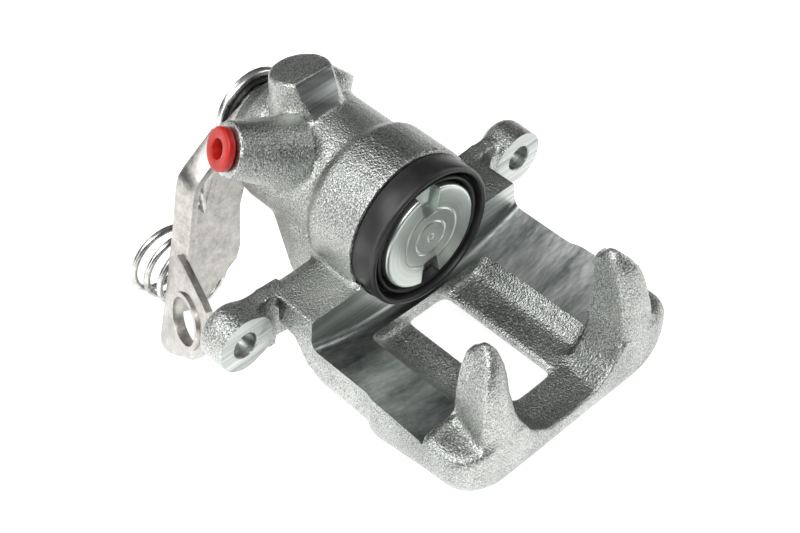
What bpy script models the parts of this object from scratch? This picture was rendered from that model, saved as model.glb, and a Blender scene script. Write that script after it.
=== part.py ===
"""Single-piston floating rear brake caliper with a built-in parking brake.

Lengths are in millimetres and become metres where a mesh is made. The piston's axis is Y:
-Y points to the fingers, +Y to the parking lever. +Z points away from the bridge, and the
origin is the centre of the piston's face with the piston fully in.
"""

import math

import bmesh
import bpy
from mathutils import Matrix, Vector

MM = 0.001
GAP = 0.3                      # clear space between pieces that touch
ROUND = 36                     # sides of a large round piece
MIDDLE_ROUND = 28              # of a boss or a shaft
SMALL_ROUND = 18               # of what sits inside

# Piston and bore
PISTON_RADIUS = 18.9
BORE_CLEARANCE = 0.15
PISTON_LENGTH = 38.0
PISTON_WALL = 4.4
PISTON_FACE_THICKNESS = 7.0
PISTON_NOSE_RADIUS = 18.2
NOTCH_DEPTH = 4.5
BORE_DEPTH = 52.0              # from the origin back to the bore's floor
CYLINDER_FRONT = 9.0
CYLINDER_RADIUS = 25.3         # front section of the cylinder
BARREL_RADIUS = 22.6           # rear section
SHOULDER_AT = 28.0
BARREL_END = 66.0
SEAL_SECTION = 3.2
SEAL_AT = 14.0

# Dust boot
BOOT_RADIUS = 24.4
BOOT_RUBBER = 1.2

# Bridge, plate and fingers
BRIDGE_HALF = 43.5             # at the plate's top
BRIDGE_WIDE = 46.7             # beside the disc
BRIDGE_NARROW = 44.7           # from the step behind it to the plate
PLATE_TOP = -10.0
PLATE_BACK = 28.0
WALL_AT = 6.0                  # machined wall that the inner pad's side faces
FINGER_FACE = -44.0            # machined faces of the two fingers
FINGER_BACK = -61.0
DISC_SPACE_RADIUS = 123.0      # machined floor over the disc's rim
FLOOR_MIDDLE = -28.7
BRIDGE_BOTTOM = -38.0
PLATE_BOTTOM = -21.0           # under the arms
SHELF_TOP = -18.0
FINGER_TIP = 12.0
WINDOW_BACK = 1.9
WINDOW_HALF_TOP = 25.6
WINDOW_HALF_BOTTOM = 8.3
WINDOW_HOLLOW = -31.2
CHANNEL_HALF = 14.0            # shallow channel under the window's lip
CHANNEL_TOP = -35.3

# Ears for the guide bolts
EAR_X = 59.2
EAR_Z = -17.6
EAR_FACE = 18.5
EAR_LENGTH = 12.5
EAR_RADIUS = 9.6
EAR_HOLE_RADIUS = 4.36

# Bosses at the rear
PORT_END = (-35.0, 51.4, 24.9)
PORT_AXIS = (-0.862, 0.264, 0.43)
PORT_LENGTH = 24.0
PORT_RADIUS = 8.8
PORT_BORE = 4.4
PORT_DEPTH = 16.0
PLUG_SEAT = 0.5                # clear space under the plug's flange
BLANK_TOP = (0.0, 57.4, 32.3)
BLANK_AXIS = (0.03, 0.21, 0.977)
BLANK_RADIUS = 10.0
BLANK_HEIGHT = 26.0
SPOT_POINT = (0.0, 51.2, 33.6)
SPOT_AXIS = (0.0, -0.86, 0.51)
LUMP_TOP = (16.4, 62.0, 21.6)
LUMP_AXIS = (0.7, 0.1, 0.7)
LUMP_RADIUS = 8.4
LUMP_HEIGHT = 13.0

# Parking brake
SHAFT_RADIUS = 6.0
BUSH_WALL = 1.2
NECK_RADIUS = 9.2
NECK_END = 80.5
SHOULDER_FACE = 75.7
MECHANISM_RADIUS = 13.0
MECHANISM_END = 68.0
RAMP_RADIUS = 11.5
RAMP_THICKNESS = 4.5
BALL_RADIUS = 2.6
BALL_CIRCLE = 7.6
BALL_COUNT = 3
SCREW_RADIUS = 4.2
NUT_RADIUS = 9.5
NUT_LENGTH = 17.0
NUT_FRONT = PISTON_FACE_THICKNESS + 3.5
SPRING_WIRE = 1.5
SPRING_TURNS = 4
CUP_RADIUS = 13.8
CUP_WALL = 0.8

# Bracket, lever and return spring
SHEET = 2.5
FLANGE = 6.4
TAB_CENTRE = (-50.5, 62.2, -47.9)
TAB_NORMAL = (-0.947, 0.241, 0.213)
CABLE_HOLE_RADIUS = 8.4
HUB_RADIUS = 15.5
LEVER_SHEET = 3.0
LEVER_FACE = 82.2
LEVER_REACH = 62.0
LEVER_STEP = 11.0              # how far the cable end stands in front of the hub
LUG = (-11.5, -4.5)            # hole in the hub for the return spring's rear leg
RETURN_WIRE = 2.4
RETURN_RADIUS = 13.0           # of the wire's centre line
RETURN_TURNS = 3.5
RETURN_PITCH = 4.1
RETURN_CENTRE = (-30.4, -55.0)
RETURN_LEAN = (-0.5, 0.42)     # sideways shift of the turns per length
LEVER_NUT_HEIGHT = 2.5
LEVER_NUT_RADIUS = 7.6


def clear_scene():
    for item in list(bpy.data.objects):
        bpy.data.objects.remove(item, do_unlink=True)


def material(name, colour, roughness, metallic):
    made = bpy.data.materials.new(name)
    made.use_nodes = True
    shader = made.node_tree.nodes["Principled BSDF"]
    shader.inputs["Base Color"].default_value = (*colour, 1.0)
    shader.inputs["Roughness"].default_value = roughness
    shader.inputs["Metallic"].default_value = metallic
    return made


def finish(item, look):
    """Gives a piece its material and smooth shading with sharp edges kept."""
    item.data.materials.clear()
    item.data.materials.append(look)
    item.data.shade_smooth()
    item.data.set_sharp_from_angle(angle=math.radians(35))
    return item


def from_points(name, points, faces):
    mesh = bpy.data.meshes.new(name)
    mesh.from_pydata([Vector(p) * MM for p in points], [], faces)
    shape = bmesh.new()
    shape.from_mesh(mesh)
    bmesh.ops.recalc_face_normals(shape, faces=shape.faces)
    shape.to_mesh(mesh)
    shape.free()
    item = bpy.data.objects.new(name, mesh)
    bpy.context.collection.objects.link(item)
    return item


def lofted(name, rings):
    """A solid through rings of points, all with the same count, closed at both ends."""
    count = len(rings[0])
    points = [p for ring in rings for p in ring]
    faces = [tuple(reversed(range(count)))]
    for level in range(len(rings) - 1):
        low, high = level * count, (level + 1) * count
        for i in range(count):
            j = (i + 1) % count
            faces.append((low + i, low + j, high + j, high + i))
    faces.append(tuple(range((len(rings) - 1) * count, len(rings) * count)))
    return from_points(name, points, faces)


def along_y(name, outline, start, end):
    """An outline of (x, z) points carried from y = start to y = end."""
    return lofted(name, [[(x, y, z) for x, z in outline] for y in (start, end)])


def along_x(name, outline, start, end):
    """An outline of (y, z) points carried from x = start to x = end."""
    return lofted(name, [[(x, y, z) for y, z in outline] for x in (start, end)])


def circle(radius, steps, centre=(0.0, 0.0)):
    turn = 2 * math.pi / steps
    return [(centre[0] + radius * math.cos(i * turn), centre[1] + radius * math.sin(i * turn))
            for i in range(steps)]


def arc(centre, radius, first, last, steps):
    """Points of (a, b) on an arc between two angles in degrees."""
    points = []
    for i in range(steps + 1):
        angle = math.radians(first + (last - first) * i / steps)
        points.append((centre[0] + radius * math.cos(angle), centre[1] + radius * math.sin(angle)))
    return points


def turned(name, profile, steps=ROUND):
    """A closed profile of (y, radius) points turned about the Y axis."""
    points = []
    rings = []
    for y, radius in profile:
        if radius == 0:
            rings.append([len(points)] * steps)
            points.append((0.0, y, 0.0))
            continue
        rings.append(list(range(len(points), len(points) + steps)))
        points += [(x, y, z) for x, z in circle(radius, steps)]
    faces = []
    for one, two in zip(rings, rings[1:] + rings[:1]):
        for i in range(steps):
            j = (i + 1) % steps
            corners = list(dict.fromkeys((one[i], one[j], two[j], two[i])))
            if len(corners) > 2:
                faces.append(tuple(corners))
    return from_points(name, points, faces)


def rod(name, radius, start, end, steps=SMALL_ROUND):
    return turned(name, [(start, 0), (start, radius), (end, radius), (end, 0)], steps)


def tube(name, inner, outer, start, end, steps=ROUND):
    return turned(name, [(start, inner), (start, outer), (end, outer), (end, inner)], steps)


def box(name, low, high):
    outline = [(low[0], low[2]), (high[0], low[2]), (high[0], high[2]), (low[0], high[2])]
    return along_y(name, outline, low[1], high[1])


def swept(name, path, radius, sides=8):
    """A round wire along a path of points, with flat ends."""
    path = [Vector(p) for p in path]
    ahead = (path[1] - path[0]).normalized()
    side = ahead.orthogonal().normalized()
    rings = []
    for i, point in enumerate(path):
        before, after = path[max(i - 1, 0)], path[min(i + 1, len(path) - 1)]
        new_ahead = (after - before).normalized()
        side.rotate(ahead.rotation_difference(new_ahead))
        ahead = new_ahead
        other = ahead.cross(side)
        rings.append([tuple(point + side * a + other * b) for a, b in circle(radius, sides)])
    return lofted(name, rings)


def moved(item, shift=(0, 0, 0), turn=None):
    """Moves a shape's own points: turned first, then shifted."""
    if turn is not None:
        item.data.transform(turn)
    item.data.transform(Matrix.Translation(Vector(shift) * MM))
    return item


def pointed(item, end, axis):
    """Turns a shape made along +Y so that it points along axis, with its origin at end."""
    turn = Vector((0, 1, 0)).rotation_difference(Vector(axis)).to_matrix().to_4x4()
    return moved(item, end, turn)


def combined(base, others, operation):
    """Joins shapes to a base, or cuts them from it, one after another."""
    for other in others:
        step = base.modifiers.new("shape", "BOOLEAN")
        step.operation = operation
        step.object = other
        graph = bpy.context.evaluated_depsgraph_get()
        mesh = bpy.data.meshes.new_from_object(base.evaluated_get(graph))
        base.modifiers.clear()
        base.data = mesh
        bpy.data.objects.remove(other, do_unlink=True)
    return base


def joined(base, *others):
    return combined(base, others, "UNION")


def cut(base, *others):
    return combined(base, others, "DIFFERENCE")


def cylinder_blank():
    neck = SHOULDER_FACE
    return turned("cylinder", [
        (CYLINDER_FRONT, 0), (CYLINDER_FRONT, CYLINDER_RADIUS), (SHOULDER_AT - 1, CYLINDER_RADIUS),
        (SHOULDER_AT + 1, CYLINDER_RADIUS - 1.3), (SHOULDER_AT + 2.5, BARREL_RADIUS),
        (BARREL_END - 3, BARREL_RADIUS), (BARREL_END + 2, BARREL_RADIUS - 1.6),
        (BARREL_END + 6, BARREL_RADIUS - 5.5), (neck, BARREL_RADIUS - 7), (neck, NECK_RADIUS),
        (NECK_END, NECK_RADIUS), (NECK_END, 0)])


def bridge_outline(top, side, bottom, corner):
    """Cross-section of the bridge in X and Z, with round lower corners."""
    height = top - bottom - corner
    bulge = side - BRIDGE_HALF
    right = [(BRIDGE_HALF, top), (side - 0.8 * bulge, top - 0.25 * height),
             (side - 0.2 * bulge, top - 0.75 * height), (side, bottom + corner + 0.1)]
    right += arc((side - corner, bottom + corner), corner, 0, -90, 4)
    return right + [(-x, z) for x, z in reversed(right)]


def plate_blank():
    """Bridge beside the disc, then the plate that carries the cylinder and the ears."""
    sections = (                # y, half width, bottom, radius of the lower corner
        (FINGER_FACE + 0.4, BRIDGE_WIDE, BRIDGE_BOTTOM, 11),
        (-24, BRIDGE_WIDE, BRIDGE_BOTTOM, 6),
        (-21.3, BRIDGE_WIDE - 0.2, BRIDGE_BOTTOM, 6),
        (-18.5, BRIDGE_NARROW, BRIDGE_BOTTOM, 7),
        (WALL_AT - 3, BRIDGE_NARROW, BRIDGE_BOTTOM, 7),
        (WALL_AT + 2, BRIDGE_NARROW, BRIDGE_BOTTOM + 3.5, 6),
        (WALL_AT + 5.5, BRIDGE_NARROW, BRIDGE_BOTTOM + 9, 5),
        (WALL_AT + 7.5, BRIDGE_NARROW, BRIDGE_BOTTOM + 14, 4),
        (PLATE_BACK - 4, BRIDGE_NARROW, PLATE_BOTTOM, 3.5),
        (PLATE_BACK, BRIDGE_NARROW - 1, PLATE_BOTTOM + 2, 2.5),
    )
    rings = []
    for y, side, bottom, corner in sections:
        top = PLATE_TOP if y < PLATE_BACK else PLATE_TOP - 2
        rings.append([(x, y, z) for x, z in bridge_outline(top, side, bottom, corner)])
    return lofted("plate", rings)


def underside_web():
    """Thick rib from the bridge under the plate and up to the barrel."""
    sections = (                # y, half width, bottom
        (WALL_AT - 4, 22, BRIDGE_BOTTOM + 1.5),
        (20, 24, BRIDGE_BOTTOM + 2.5),
        (40, 23, -31),
        (54, 18, -18),
    )
    rings = []
    for y, half, bottom in sections:
        right = [(half, -6), (half, bottom + 5), (half - 1.5, bottom + 1.5), (half - 5, bottom)]
        rings.append([(x, y, z) for x, z in right + [(-x, z) for x, z in reversed(right)]])
    return lofted("web", rings)


def foot_outline(side, corner, bottom, valley, narrow):
    """Cross-section of the fingers' foot: a valley in the middle and round outer corners."""
    right = [(0, valley), (3.7, valley), (14.9 - 5 * narrow, valley + 0.3), (21.1 - 3.4 * narrow, -25.5 + 2.6 * narrow),
             (23.5 - 3 * narrow, SHELF_TOP), (side - 3, SHELF_TOP), (side - 0.8, SHELF_TOP - 0.9),
             (side, SHELF_TOP - 3.2)]
    right += arc((side - corner, bottom + corner), corner, 0, -90, 5)
    return right + [(-x, z) for x, z in reversed(right) if x > 0]


def finger_base():
    """Foot of the fingers, rounded towards its outboard side."""
    sections = (                # y, half width, lower corner, bottom, valley floor, how narrow
        (FINGER_FACE + 1, BRIDGE_WIDE, 11, BRIDGE_BOTTOM, -32.5, 0),
        (-54, BRIDGE_WIDE - 0.2, 12, BRIDGE_BOTTOM, -31, 0.6),
        (-57.4, BRIDGE_WIDE - 2, 12, BRIDGE_BOTTOM + 0.2, -30.2, 0.8),
        (-59.6, BRIDGE_WIDE - 5, 11.5, BRIDGE_BOTTOM + 1, -29.6, 0.9),
        (FINGER_BACK, BRIDGE_WIDE - 9, 9, BRIDGE_BOTTOM + 2.8, -29, 1),
    )
    rings = []
    for y, side, corner, bottom, valley, narrow in sections:
        rings.append([(x, y, z) for x, z in foot_outline(side, corner, bottom, valley, narrow)])
    return lofted("finger_base", rings)


def finger(side):
    """One finger: a buttress, wide at the outboard side, that rises to a round tip."""
    levels = (                  # z, pad side from and to, outboard ridge from, its y, and to, its y
        (-26, 21, 35, 16.5, -60, 39, -58.5),
        (SHELF_TOP, 23.5, 33.2, 20.6, -59.4, 37.2, -58.5),
        (-12, 25.1, 32.8, 22.7, -58.2, 36.3, -58.5),
        (-5, 25.2, 32.4, 23.3, -56.6, 34.9, -57.8),
        (2, 25.2, 31.1, 23.1, -54.6, 33.5, -56.5),
        (FINGER_TIP - 5.5, 25.0, 29.2, 23.2, -53, 31.9, -54.9),
        (FINGER_TIP - 2.8, 24.9, 28.2, 23.6, -51.6, 30.0, -52.9),
        (FINGER_TIP - 0.8, 25.1, 27.4, 24.5, -50.2, 28.2, -50.8),
        (FINGER_TIP, 25.8, 26.8, 25.5, -49.2, 27.1, -49.4),
    )
    rings = []
    for z, inner, outer, ridge_in, y_in, ridge_out, y_out in levels:
        front = FINGER_FACE + 0.5 - max(0.0, z - (FINGER_TIP - 5.5)) * 0.75
        width = ridge_out - ridge_in
        bulge = 0.09 * width
        rings.append([(side * x, y, z) for x, y in (
            (inner, front), (outer, front), (outer + 0.55 * (ridge_out - outer), 0.4 * front + 0.6 * y_out),
            (ridge_out, y_out), (ridge_out - 0.25 * width, y_out - bulge),
            (ridge_in + 0.35 * width, 0.5 * (y_in + y_out) - bulge * 1.4), (ridge_in, y_in),
            (inner - 0.5 * (inner - ridge_in), 0.5 * (front + y_in)))])
    return lofted("finger", rings)


def window_cutter():
    """Funnel through the bridge: a bevelled edge, a hollow wall and a narrow lip."""
    right = [(WINDOW_HALF_TOP + 3, FLOOR_MIDDLE + 5.7), (WINDOW_HALF_TOP, FLOOR_MIDDLE + 2.7),
             (WINDOW_HALF_TOP - 2.8, FLOOR_MIDDLE - 0.1), (WINDOW_HALF_TOP - 4.2, WINDOW_HOLLOW + 0.4),
             (WINDOW_HALF_TOP - 6.6, WINDOW_HOLLOW - 0.4), (WINDOW_HALF_BOTTOM + 0.9, WINDOW_HOLLOW - 0.2),
             (WINDOW_HALF_BOTTOM, WINDOW_HOLLOW - 0.8), (WINDOW_HALF_BOTTOM, BRIDGE_BOTTOM - 2)]
    outline = right + [(-x, z) for x, z in reversed(right)]
    return along_y("window", outline, FINGER_FACE + 0.01, WINDOW_BACK)


def underside_channel():
    slope = CHANNEL_HALF - 2
    outline = [(-CHANNEL_HALF, BRIDGE_BOTTOM - 2), (CHANNEL_HALF, BRIDGE_BOTTOM - 2),
               (slope, CHANNEL_TOP), (-slope, CHANNEL_TOP)]
    return along_y("channel", outline, FINGER_FACE - 2, WINDOW_BACK + 3)


def disc_space():
    """Room for the disc and pads, which also machines the fingers' faces flat."""
    centre_z = FLOOR_MIDDLE + DISC_SPACE_RADIUS
    spread = math.degrees(math.asin(70 / DISC_SPACE_RADIUS))
    rings = []
    for y, inset in ((FINGER_FACE, 0), (WALL_AT - 4, 0), (WALL_AT - 1.2, 1.2), (WALL_AT, 4)):
        ring = arc((0, centre_z), DISC_SPACE_RADIUS - inset, -90 - spread, -90 + spread, 20)
        ring += [(70, 60), (-70, 60)]
        rings.append([(x, y, z) for x, z in ring])
    return lofted("disc_space", rings)


def ear(side):
    """Boss for a guide bolt, carried on an arm from the plate's side."""
    boss = turned("ear", [(EAR_FACE, 0), (EAR_FACE, EAR_RADIUS),
                          (EAR_FACE + EAR_LENGTH - 3, EAR_RADIUS + 0.4),
                          (EAR_FACE + EAR_LENGTH - 0.8, EAR_RADIUS - 1.2),
                          (EAR_FACE + EAR_LENGTH, EAR_RADIUS - 4), (EAR_FACE + EAR_LENGTH, 0)],
                  MIDDLE_ROUND)
    moved(boss, (side * EAR_X, 0, EAR_Z))
    inner, outer = side * (BRIDGE_HALF - 5), side * (EAR_X - 2)
    top, low = EAR_Z + 8.6, EAR_Z - 8.6
    rings = [[(inner, EAR_FACE + 3.2, low - 2), (inner, PLATE_BACK, low - 2),
              (inner, PLATE_BACK, top - 1), (inner, EAR_FACE + 3.2, top - 1)],
             [(outer, EAR_FACE + 4, low), (outer, EAR_FACE + 10, low),
              (outer, EAR_FACE + 10, top), (outer, EAR_FACE + 4, top)]]
    return joined(boss, lofted("arm", rings))


def port_boss(length=PORT_LENGTH, radius=PORT_RADIUS):
    return turned("port", [(0, 0), (0, radius), (-length, radius + 3), (-length, 0)], MIDDLE_ROUND)


def blank_boss():
    """Solid boss on top of the barrel, with a flat cut on its front corner."""
    boss = turned("blank", [(0, 0), (0, BLANK_RADIUS - 0.6), (-0.6, BLANK_RADIUS),
                            (-BLANK_HEIGHT, BLANK_RADIUS + 3.5), (-BLANK_HEIGHT, 0)],
                  MIDDLE_ROUND)
    pointed(boss, BLANK_TOP, BLANK_AXIS)
    face = box("spot_face", (-14, 0, -14), (14, 14, 14))
    return cut(boss, pointed(face, SPOT_POINT, SPOT_AXIS))


def casting():
    body = joined(cylinder_blank(), plate_blank(), underside_web(), finger_base())
    for side in (-1, 1):
        body = joined(body, finger(side), ear(side))
    left_port = pointed(port_boss(), PORT_END, PORT_AXIS)
    lump = pointed(port_boss(LUMP_HEIGHT, LUMP_RADIUS), LUMP_TOP, LUMP_AXIS)
    body = joined(body, left_port, lump, blank_boss())
    bore = PISTON_RADIUS + BORE_CLEARANCE
    shaft_hole = SHAFT_RADIUS + BUSH_WALL + GAP
    seal_out = bore + SEAL_SECTION
    bores = turned("bores", [
        (-5, 0), (-5, BOOT_RADIUS + 0.5), (CYLINDER_FRONT - 0.01, BOOT_RADIUS + 0.5),
        (CYLINDER_FRONT - 0.01, BOOT_RADIUS - 2.4), (CYLINDER_FRONT + 2, BOOT_RADIUS - 2.4),
        (CYLINDER_FRONT + 2, bore), (SEAL_AT, bore), (SEAL_AT, seal_out),
        (SEAL_AT + SEAL_SECTION + GAP, seal_out), (SEAL_AT + SEAL_SECTION + GAP, bore),
        (BORE_DEPTH, bore), (BORE_DEPTH, MECHANISM_RADIUS), (MECHANISM_END, MECHANISM_RADIUS),
        (MECHANISM_END, shaft_hole), (NECK_END + 5, shaft_hole), (NECK_END + 5, 0)])
    port_hole = pointed(rod("port_hole", PORT_BORE, -PORT_DEPTH, 5), PORT_END, PORT_AXIS)
    fluid_way = pointed(rod("fluid_way", 1.6, -40, 1.5 - PORT_DEPTH, 12), PORT_END, PORT_AXIS)
    holes = [moved(rod("ear_hole", EAR_HOLE_RADIUS, EAR_FACE - 5, EAR_FACE + EAR_LENGTH + 5),
                   (side * EAR_X, 0, EAR_Z)) for side in (-1, 1)]
    body = cut(body, disc_space(), window_cutter(), underside_channel(), bores, port_hole, fluid_way,
               *holes)
    body.name = "caliper_body"
    return finish(body, material("zinc_cast_iron", (0.55, 0.57, 0.54), 0.42, 0.85))


def piston():
    groove = PISTON_NOSE_RADIUS - 1.4
    inner = PISTON_RADIUS - PISTON_WALL
    body = turned("piston", [
        (0, 0), (0, 17.4), (0.6, PISTON_NOSE_RADIUS), (4.2, PISTON_NOSE_RADIUS), (4.2, groove),
        (7.4, groove), (7.4, PISTON_NOSE_RADIUS), (8.2, PISTON_RADIUS),
        (PISTON_LENGTH - 0.8, PISTON_RADIUS), (PISTON_LENGTH, PISTON_RADIUS - 0.8),
        (PISTON_LENGTH, inner), (PISTON_FACE_THICKNESS + 6, inner),
        (PISTON_FACE_THICKNESS, inner - 5), (PISTON_FACE_THICKNESS, 0)])
    notches = []
    for way in (-1, 1):
        outline = [(-2.6, way * 9.2), (2.6, way * 9.2), (4.6, way * 20), (-4.6, way * 20)]
        notches.append(along_y("notch", outline, -1, NOTCH_DEPTH - 0.4))
    return finish(cut(body, *notches), material("zinc_plate", (0.62, 0.66, 0.63), 0.3, 0.9))


def piston_seal():
    inner, outer = PISTON_RADIUS + GAP, PISTON_RADIUS + BORE_CLEARANCE + SEAL_SECTION - GAP
    ring = tube("piston_seal", inner, outer, SEAL_AT + GAP, SEAL_AT + SEAL_SECTION)
    return finish(ring, material("seal_rubber", (0.03, 0.03, 0.03), 0.5, 0.0))


def dust_boot():
    """Cup of rubber over the piston's mouth: an outer wall, a fold and a lip in the groove."""
    back, out, wall = CYLINDER_FRONT - GAP, BOOT_RADIUS, BOOT_RUBBER
    lip = PISTON_NOSE_RADIUS + GAP
    front = [(back, out), (1.0, out), (0.1, out - 0.5), (-0.3, out - 1.2), (0.1, out - 1.9),
             (3.6, out - 2.3), (4.2, out - 2.9), (3.4, out - 3.5), (1.4, out - 3.7),
             (0.9, out - 4.2), (1.4, out - 4.7), (3.0, lip + 0.6), (3.6, lip)]
    rear = [(6.2, lip), (6.2, lip + wall), (3.4, out - 4.1), (5.6, out - 3.3), (6.0, out - 2.6),
            (4.8, out - 1.6), (2.4, out - wall), (back, out - wall)]
    return finish(turned("dust_boot", front + rear), material("boot_rubber", (0.02, 0.02, 0.022), 0.35, 0.0))


def boot_ring():
    """Steel insert that holds the boot in its seat."""
    outer = BOOT_RADIUS - 2.4 - GAP
    ring = tube("boot_ring", outer - 1.2, outer, CYLINDER_FRONT - 2, CYLINDER_FRONT + 2 - GAP)
    return finish(ring, material("ring_steel", (0.5, 0.5, 0.5), 0.35, 1.0))


def steel(name, shade=0.5, roughness=0.35):
    return material(name, (shade, shade, shade * 0.99), roughness, 1.0)


def adjuster():
    """Nut and screw inside the piston, which take up pad wear."""
    end = MECHANISM_END - 2 * RAMP_THICKNESS - 2 * BALL_RADIUS + 2.4
    flange = end - RAMP_THICKNESS
    nut_back = NUT_FRONT + NUT_LENGTH
    thread = SCREW_RADIUS + GAP
    nut = turned("adjuster_nut", [
        (NUT_FRONT, thread), (NUT_FRONT, NUT_RADIUS - 3.5), (NUT_FRONT + 3.5, NUT_RADIUS),
        (nut_back - 4, NUT_RADIUS), (nut_back - 4, NUT_RADIUS - 2), (nut_back, NUT_RADIUS - 2),
        (nut_back, thread)], SMALL_ROUND)
    finish(nut, steel("nut_steel"))
    screw_profile = [(NUT_FRONT + 1, 0)]
    crest = NUT_FRONT + 1
    while crest < flange - 4:
        screw_profile += [(crest, SCREW_RADIUS - 0.9), (crest + 1.6, SCREW_RADIUS)]
        crest += 3.2
    screw_profile += [(flange, SCREW_RADIUS - 0.4), (flange, RAMP_RADIUS - 1.5),
                      (flange + 2.2, RAMP_RADIUS - 1.5), (flange + 2.2, 0)]
    screw = turned("adjuster_screw", screw_profile, SMALL_ROUND)
    finish(screw, steel("screw_steel", 0.42))
    return flange + 2.2


def ramp_plates(screw_end):
    """Two plates with a ball track between them: one pushes the screw, one turns with the shaft."""
    track = BALL_RADIUS + GAP
    front = screw_end + GAP
    middle = front + RAMP_THICKNESS + 0.8
    for name, start, end, shade in (("push_plate", front, front + RAMP_THICKNESS, 0.45),
                                    ("turning_plate", middle + 0.8, middle + 0.8 + RAMP_THICKNESS, 0.4)):
        plate = rod(name, RAMP_RADIUS, start, end, ROUND)
        ring = [(middle + track * math.sin(math.radians(a)), BALL_CIRCLE + track * math.cos(math.radians(a)))
                for a in range(0, 360, 30)]
        finish(cut(plate, turned("track", ring)), steel(name + "_steel", shade))
    ball_steel = steel("ball_steel", 0.7, 0.12)
    for i in range(BALL_COUNT):
        angle = 2 * math.pi * i / BALL_COUNT
        bpy.ops.mesh.primitive_uv_sphere_add(segments=12, ring_count=8, radius=BALL_RADIUS * MM)
        ball = bpy.context.object
        ball.name = f"ramp_ball_{i + 1}"
        ball.data.name = ball.name
        moved(ball, (BALL_CIRCLE * math.cos(angle), middle, BALL_CIRCLE * math.sin(angle)))
        finish(ball, ball_steel)
    return middle + 0.8 + RAMP_THICKNESS


def adjuster_spring(screw_end):
    """Coil that returns the screw, between the cage's floor and the screw's flange."""
    radius = 11.6
    start, end = 32.6, screw_end - 3.2
    steps = SPRING_TURNS * 16
    path = []
    for i in range(steps + 1):
        angle = 2 * math.pi * SPRING_TURNS * i / steps
        path.append((radius * math.cos(angle), start + (end - start) * i / steps, radius * math.sin(angle)))
    finish(swept("adjuster_spring", path, SPRING_WIRE / 2, 6), steel("coil_steel", 0.45))


def spring_cage():
    """Thin cup round the spring, held by a ring in the bore."""
    back = BORE_DEPTH - 1.6
    cage = turned("spring_cage", [
        (30.4, SCREW_RADIUS + 2.6), (30.4, CUP_RADIUS), (back - CUP_WALL, CUP_RADIUS),
        (back - CUP_WALL, CUP_RADIUS + 3.4), (back, CUP_RADIUS + 3.4), (back, CUP_RADIUS - CUP_WALL),
        (30.4 + CUP_WALL, CUP_RADIUS - CUP_WALL), (30.4 + CUP_WALL, SCREW_RADIUS + 2.6)])
    finish(cage, steel("cage_steel", 0.5))
    ring = tube("cage_ring", CUP_RADIUS + 1.2, PISTON_RADIUS - GAP, back - CUP_WALL - GAP - 1.5,
                back - CUP_WALL - GAP)
    slot = box("gap", (-3, BORE_DEPTH - 10, 0), (3, BORE_DEPTH, 30))
    finish(cut(ring, slot), steel("circlip_steel", 0.3))


def shaft_group(plate_end):
    """Parking-brake shaft with its thrust washer, bush and seal."""
    washer_start = plate_end + GAP
    washer_end = MECHANISM_END - GAP
    washer = tube("thrust_washer", SHAFT_RADIUS + GAP, RAMP_RADIUS - 0.5, washer_start, washer_end, MIDDLE_ROUND)
    finish(washer, steel("washer_steel", 0.55))
    shaft_end = LEVER_FACE + LEVER_SHEET + GAP + LEVER_NUT_HEIGHT + 0.6
    shaft = turned("lever_shaft", [
        (plate_end + GAP, 0), (plate_end + GAP, SHAFT_RADIUS), (LEVER_FACE, SHAFT_RADIUS),
        (LEVER_FACE, SHAFT_RADIUS - 1.2), (shaft_end, SHAFT_RADIUS - 1.2), (shaft_end, 0)], MIDDLE_ROUND)
    finish(shaft, steel("shaft_steel", 0.48))
    bush = tube("shaft_bush", SHAFT_RADIUS + 0.05, SHAFT_RADIUS + BUSH_WALL + GAP / 2,
                MECHANISM_END + GAP, NECK_END - 4, MIDDLE_ROUND)
    finish(bush, material("bronze", (0.55, 0.4, 0.22), 0.4, 1.0))
    seal = tube("shaft_seal", SHAFT_RADIUS + 0.1, SHAFT_RADIUS + BUSH_WALL + 0.1, NECK_END - 3.6,
                NECK_END - 0.6, MIDDLE_ROUND)
    finish(seal, material("shaft_seal_rubber", (0.03, 0.03, 0.03), 0.5, 0.0))
    boot = turned("shaft_boot", [
        (NECK_END + GAP, SHAFT_RADIUS + 0.4), (NECK_END + GAP, NECK_RADIUS + 2.6),
        (NECK_END - 0.5, NECK_RADIUS + 2.8), (NECK_END - 0.5, HUB_RADIUS - 2.6),
        (LEVER_FACE - 0.6, HUB_RADIUS - 2.4), (LEVER_FACE - GAP, HUB_RADIUS - 3.2),
        (LEVER_FACE - GAP, SHAFT_RADIUS + 0.4)])
    finish(boot, material("shaft_boot_rubber", (0.015, 0.015, 0.015), 0.45, 0.0))


def offset_inward(line, distance):
    """A line of (x, z) points moved to its left by a distance, with mitred corners."""
    points = [Vector(p) for p in line]
    normals = []
    for one, two in zip(points, points[1:]):
        along = (two - one).normalized()
        normals.append(Vector((-along.y, along.x)))
    moved_points = []
    for i, point in enumerate(points):
        before, after = normals[max(i - 1, 0)], normals[min(i, len(normals) - 1)]
        middle = (before + after).normalized()
        moved_points.append(tuple(point + middle * distance / middle.dot(before)))
    return moved_points


def plate_on(name, origin, across, up, outline, thickness):
    """A plate whose outline is given in its own plane, thick along across x up."""
    origin, across, up = Vector(origin), Vector(across).normalized(), Vector(up).normalized()
    through = across.cross(up)
    rings = [[tuple(origin + across * a + up * b + through * t) for a, b in outline]
             for t in (0, thickness)]
    return lofted(name, rings)


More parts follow.
